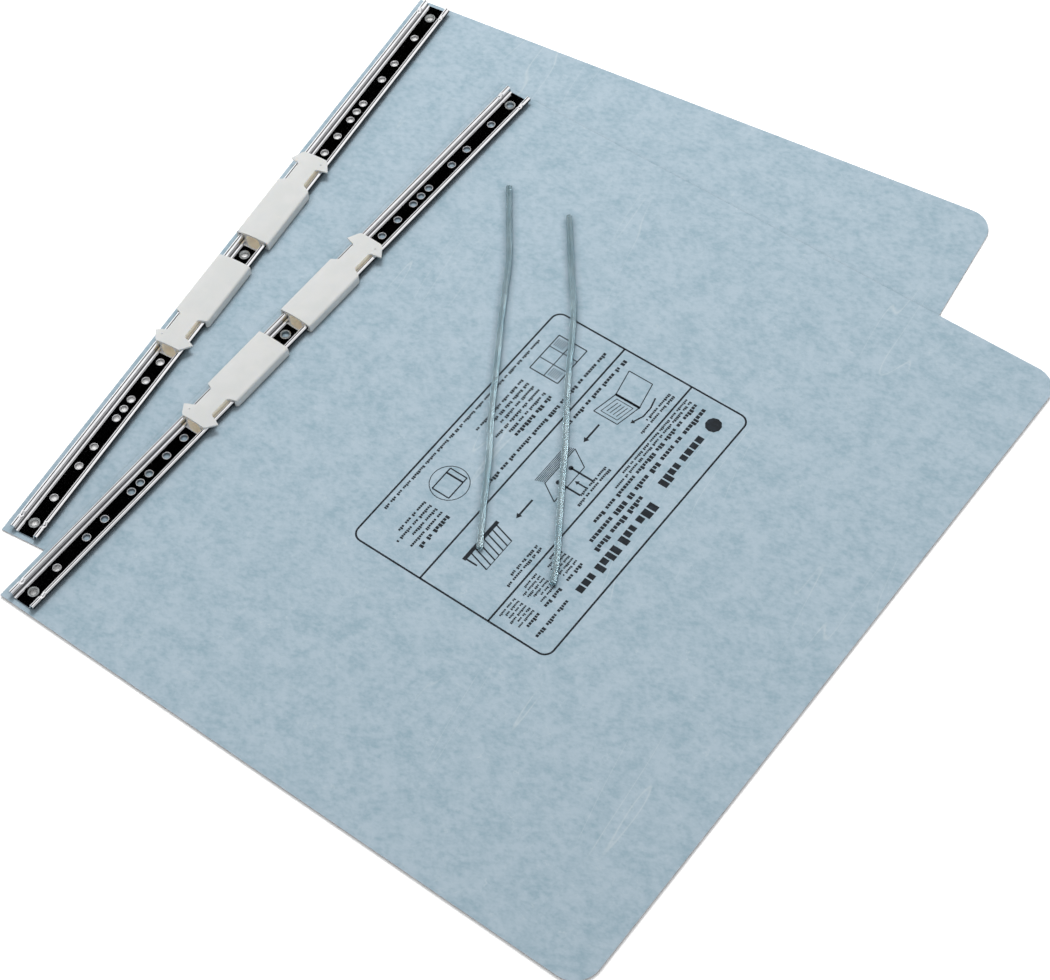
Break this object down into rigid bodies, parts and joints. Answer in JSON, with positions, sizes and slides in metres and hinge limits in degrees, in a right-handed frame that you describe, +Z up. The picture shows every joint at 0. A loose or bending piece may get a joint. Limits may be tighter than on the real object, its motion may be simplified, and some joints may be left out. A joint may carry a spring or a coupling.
{
  "type": "data binder",
  "caption": "Hanging data binder: loose pressboard covers with steel channel rails, sliding storage hooks and binding posts.",
  "frame": {"origin": "centre of the back cover's underside", "axes": "+Z up out of the covers, +Y along the back cover's rail, +X across the cover to its outer edge"},
  "size_m": [0.4051, 0.4586, 0.0077],
  "materials": {
    "pressboard": "matt pressed fibre board with a fine mottle",
    "rail_steel": "bright plated sheet steel",
    "eyelet_steel": "satin plated steel",
    "hook_nylon": "moulded white nylon, satin",
    "post_nylon": "clear grey flexible nylon"
  },
  "bodies": {
    "root": {"back_cover": "pressboard", "back_rail": "rail_steel", "back_eyelet_near": "eyelet_steel", "back_eyelet_middle": "eyelet_steel", "back_eyelet_far": "eyelet_steel", "front_cover": "pressboard", "front_rail": "rail_steel", "front_eyelet_near": "eyelet_steel", "front_eyelet_middle": "eyelet_steel", "front_eyelet_far": "eyelet_steel", "first_post": "post_nylon", "second_post": "post_nylon"},
    "back_hook_far": {"back_hook_far": "hook_nylon"},
    "back_hook_near": {"back_hook_near": "hook_nylon"},
    "front_hook_far": {"front_hook_far": "hook_nylon"},
    "front_hook_near": {"front_hook_near": "hook_nylon"}
  },
  "joints": [
    {"name": "back_hook_far_slide", "type": "slide", "parent": "root", "child": "back_hook_far", "axis": [0, 1, 0], "range_m": [-0.008, 0.1429]},
    {"name": "back_hook_near_slide", "type": "slide", "parent": "root", "child": "back_hook_near", "axis": [0, -1, 0], "range_m": [-0.008, 0.1429]},
    {"name": "front_hook_far_slide", "type": "slide", "parent": "root", "child": "front_hook_far", "axis": [0.1298, 0.9915, 0], "range_m": [-0.008, 0.1429]},
    {"name": "front_hook_near_slide", "type": "slide", "parent": "root", "child": "front_hook_near", "axis": [-0.1298, -0.9915, 0], "range_m": [-0.008, 0.1429]}
  ]
}
